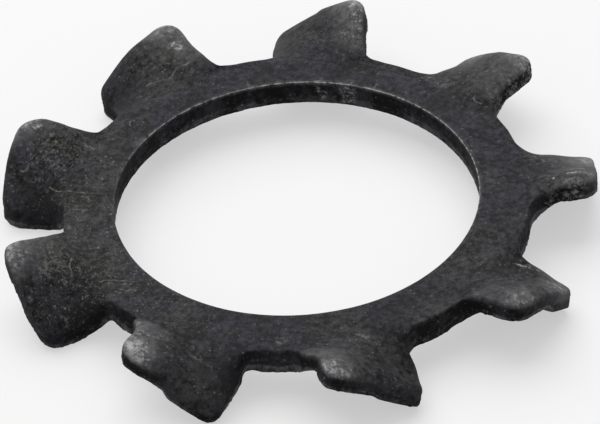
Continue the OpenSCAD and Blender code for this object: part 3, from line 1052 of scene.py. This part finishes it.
def dirt(net, base, grain, dust, smear, above):
    """Dust caught on the raised halves, crumbs, specks, smears and scratches."""
    dusty = DUSTY_SHARE * (1 - net.step(net.away_from(*DUSTY_SIDE), *DUSTY_REACH))
    dusty = net.math("MAXIMUM", dusty, dust)
    caught = dusty * net.step(net.grained(CLUMPS) + dusty * 0.06, 0.55, 0.65)
    base = net.lay(base, caught, DUST_LAYER)
    coarse = net.crumbs(2500.0, 0.63 - 0.12 * dusty)
    fine = net.crumbs(4600.0, 0.6 - 0.12 * dusty)
    base = net.blend(net.most([coarse, fine]) * (0.35 + 0.4 * dusty), base, CRUMB_GREY)
    coarse = net.specks(6500.0, 0.97 - dusty * 0.3, 0.3)
    fine = net.specks(11000.0, 0.9 - dusty * 0.3, 0.34)
    speck = net.most([coarse, fine]) * net.step(grain, -0.1, 0.1)
    base = net.lay(base, speck, SPECK_LAYER)
    base = net.lay(base, smear, SMEAR_LAYER)
    scratch = net.most([net.bow(*line, SCRATCH_HALF_WIDTH) for line in SCRATCHES]) * above
    return net.lay(base, scratch, SCRATCH_LAYER)


def bare_steel_and_sheen(net, base, rubbed_and_sheen, wear_and_sheen, above):
    """Steel that shows where the raised corners are rubbed, with painted sheen and glints."""
    base = net.lay(base, rubbed_and_sheen, RUBBED_AND_SHEEN_LAYER)
    # Its brightest flecks: rubbed metal and painted glints
    bright = net.step(wear_and_sheen + (net.grained(SHINE) - 0.5) * 3.0, 0.7, 1.2)
    base = net.lay(base, bright, BRIGHT_LAYER)
    streak = net.most([net.bow(*line, width * MM) for *line, width in STREAKS]) * above
    return net.lay(base, streak * net.patches(*STREAK_PATCHES), STREAK_LAYER)


def sheared_walls(net, cloud, torn, smear):
    """Walls that are black above, partly as painted shade, and torn to a dull grey below."""
    in_bore = 1 - net.step(net.away_from(0, 0), *BORE_PASSAGE)
    rough = net.blend(in_bore, TORN_STEEL, TORN_IN_BORE)
    side = net.blend(torn, WALL_OXIDE_AND_SHADE, rough)
    patchy = net.grained(BROAD_BLOTCHES) * BLOTCH_CONTRAST + cloud * BLOTCH_CONTRAST
    patchy = patchy + net.grained(FINE_BLOTCHES) * BLOTCH_CONTRAST - BLOTCH_LEVEL
    side = net.blend(1.0, side, net.math("MAXIMUM", patchy, BLOTCH_DARKEST), "MULTIPLY")
    fleck = net.step(net.grained(FLECKS) + torn * 0.02, 0.61, 0.68)
    side = net.lay(side, fleck, FLECK_LAYER)
    return net.lay(side, smear, WALL_SMEAR_LAYER)


def blackened_steel():
    """Black oxide on hardened steel: mottled, dusty, rubbed where high, with painted sheen,
    shade and highlights.
    """
    material, net = new_material("blackened_steel", Finish)
    wall, wear_and_sheen, dust = (net.mark(name) for name in ("wall", "wear_and_sheen", "dust"))
    above = net.step(net.mark("height"), 0.05, 0.2)
    cloud = net.grained(CLOUDS) - 0.5
    grain = net.grained(GRAIN) - 0.5
    torn = 1 - net.step(net.mark("height") + cloud * 0.5, 0.28, 0.42)
    smear = net.most([net.smudge(*spot) for spot in SMUDGES]) * above
    smear = smear * net.patches(*SMEAR_PATCHES)
    # Rubbed wear and painted sheen on the raised corners and sides
    rubbed_and_sheen = wear_and_sheen * (0.5 + 0.8 * net.patches(*WEAR_AND_SHEEN_PATCHES))

    base = oxide(net, cloud, grain, net.most([wear_and_sheen, dust]))
    base = dirt(net, base, grain, dust, smear, above)
    base = bare_steel_and_sheen(net, base, rubbed_and_sheen, wear_and_sheen, above)
    side = sheared_walls(net, cloud, torn, smear)
    # The walls' colour, dark partly as painted shade, gives way to the faces' at the lowered
    # half's end
    base = net.blend(wall * (1 - 0.75 * net.mark("end_as_face")), base, side)
    # A painted highlight along the bore's upper edge
    lip_highlight = net.mark("lip_highlight") * net.patches(*LIP_PATCHES)
    base = net.lay(base, lip_highlight, LIP_HIGHLIGHT_LAYER)
    lint = net.most([net.bow(*line, LINT_HALF_WIDTH) for line in FIBRES])
    lint = lint * above * (0.3 + 0.7 * net.patches(*LINT_PATCHES))
    base = net.lay(base, lint, LINT_LAYER)

    relief = grain * 0.6 + cloud * 0.8 + torn * wall * net.grained(TORN_RELIEF) * 2.0
    bump = net.out(
        "ShaderNodeBump", None, {"Strength": 1.0, "Distance": 0.03 * MM, "Height": relief}
    )
    shader = net.out(
        "ShaderNodeBsdfPrincipled",
        None,
        {
            "Base Color": base,
            "Metallic": net.math("MULTIPLY", rubbed_and_sheen, 0.5, clamp=True),
            "Roughness": 0.54 + cloud * 0.4 + wall * 0.25 - wear_and_sheen * 0.08,
            "Specular IOR Level": 0.1,
            "Normal": bump,
        },
    )
    net.node("ShaderNodeOutputMaterial", None, {"Surface": shader})
    return material


RAYS_THAT_SHOW = ("Is Camera Ray", "Is Glossy Ray", "Is Transmission Ray")


def seen(net):
    """1 for the rays that show the surroundings, directly or in a gloss."""
    path = net.node("ShaderNodeLightPath")
    rays = [Value(net, path.outputs[name]) for name in RAYS_THAT_SHOW]
    return net.math("MAXIMUM", net.math("MAXIMUM", rays[0], rays[1]), rays[2])


def pale_table():
    """Matt white board, half of its whiteness kept clear of the shadows."""
    material, net = new_material("pale_table")
    matt = net.out(
        "ShaderNodeBsdfPrincipled",
        None,
        {"Base Color": (0.93, 0.93, 0.93, 1.0), "Roughness": 0.9, "Specular IOR Level": 0.1},
    )
    white = net.out("ShaderNodeEmission", None, {"Color": (1.0, 1.0, 1.0, 1.0), "Strength": 1.0})
    shader = net.out("ShaderNodeMixShader", None, {0: 0.5 * seen(net), 1: matt, 2: white})
    net.node("ShaderNodeOutputMaterial", None, {"Surface": shader})
    return material


# ---------------------------------------------------------------------- stage


def make_table(height, half_side):
    signs = [(-1, -1), (1, -1), (1, 1), (-1, 1)]
    corners = [(x * half_side, y * half_side, height) for x, y in signs]
    mesh = bpy.data.meshes.new("table")
    mesh.from_pydata(corners, [], [(0, 1, 2, 3)])
    mesh.materials.append(pale_table())
    table = bpy.data.objects.new("table", mesh)
    bpy.context.scene.collection.objects.link(table)


def make_world(strength):
    world = bpy.data.worlds.new("soft_room")
    bpy.context.scene.world = world
    world.use_nodes = True
    world.node_tree.nodes.clear()
    net = Net(world.node_tree)
    sky = net.out(
        "ShaderNodeBackground",
        None,
        {"Color": (1.0, 1.0, 1.0, 1.0), "Strength": strength + (1 - strength) * seen(net)},
    )
    net.node("ShaderNodeOutputWorld", None, {"Surface": sky})


def make_lamp(name, azimuth, elevation, distance, size, radiance):
    """A square soft lamp that faces the washer, of the given radiance."""
    lamp = bpy.data.lights.new(name, "AREA")
    lamp.shape = "SQUARE"
    lamp.size = size
    lamp.energy = radiance * math.pi * size**2
    flat = math.cos(math.radians(elevation))
    toward = Vector(
        (
            flat * math.cos(math.radians(azimuth)),
            flat * math.sin(math.radians(azimuth)),
            math.sin(math.radians(elevation)),
        )
    )
    holder = bpy.data.objects.new(name, lamp)
    holder.location = toward * distance
    holder.rotation_euler = toward.to_track_quat("Z", "Y").to_euler()
    bpy.context.scene.collection.objects.link(holder)


# The camera looks down on the washer from in front
CAMERA_AZIMUTH = -92.4
CAMERA_ELEVATION = 39.13
CAMERA_ROLL = -4.21
CAMERA_DISTANCE = 147.1 * MM
CAMERA_AIM = Vector((0.048 * MM, -0.261 * MM, 0.0))
LENS = 305.0
SENSOR = 36.0


def make_camera():
    camera = bpy.data.cameras.new("camera")
    camera.lens = LENS
    camera.sensor_width = SENSOR
    camera.clip_start = 0.005
    camera.clip_end = 10.0
    azimuth = math.radians(CAMERA_AZIMUTH)
    elevation = math.radians(CAMERA_ELEVATION)
    back = Vector(
        (
            math.cos(elevation) * math.cos(azimuth),
            math.cos(elevation) * math.sin(azimuth),
            math.sin(elevation),
        )
    )
    level = Vector((-math.sin(azimuth), math.cos(azimuth), 0.0))
    upright = back.cross(level)
    roll = math.radians(CAMERA_ROLL)
    right = level * math.cos(roll) + upright * math.sin(roll)
    up = upright * math.cos(roll) - level * math.sin(roll)
    turn = Matrix((right, up, back)).transposed().to_4x4()
    holder = bpy.data.objects.new("camera", camera)
    holder.matrix_world = Matrix.Translation(CAMERA_AIM + back * CAMERA_DISTANCE) @ turn
    bpy.context.scene.collection.objects.link(holder)
    bpy.context.scene.camera = holder


# ------------------------------------------------------------------ the scene

washer = make_washer(blackened_steel())
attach(washer, "root")
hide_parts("washer")

make_table(height=cad_box[0][2], half_side=1.5)
make_world(strength=0.4)
make_lamp("overhead", azimuth=105.0, elevation=58.0, distance=0.35, size=0.45, radiance=1.9)
make_camera()

bpy.context.scene.view_settings.view_transform = "Standard"
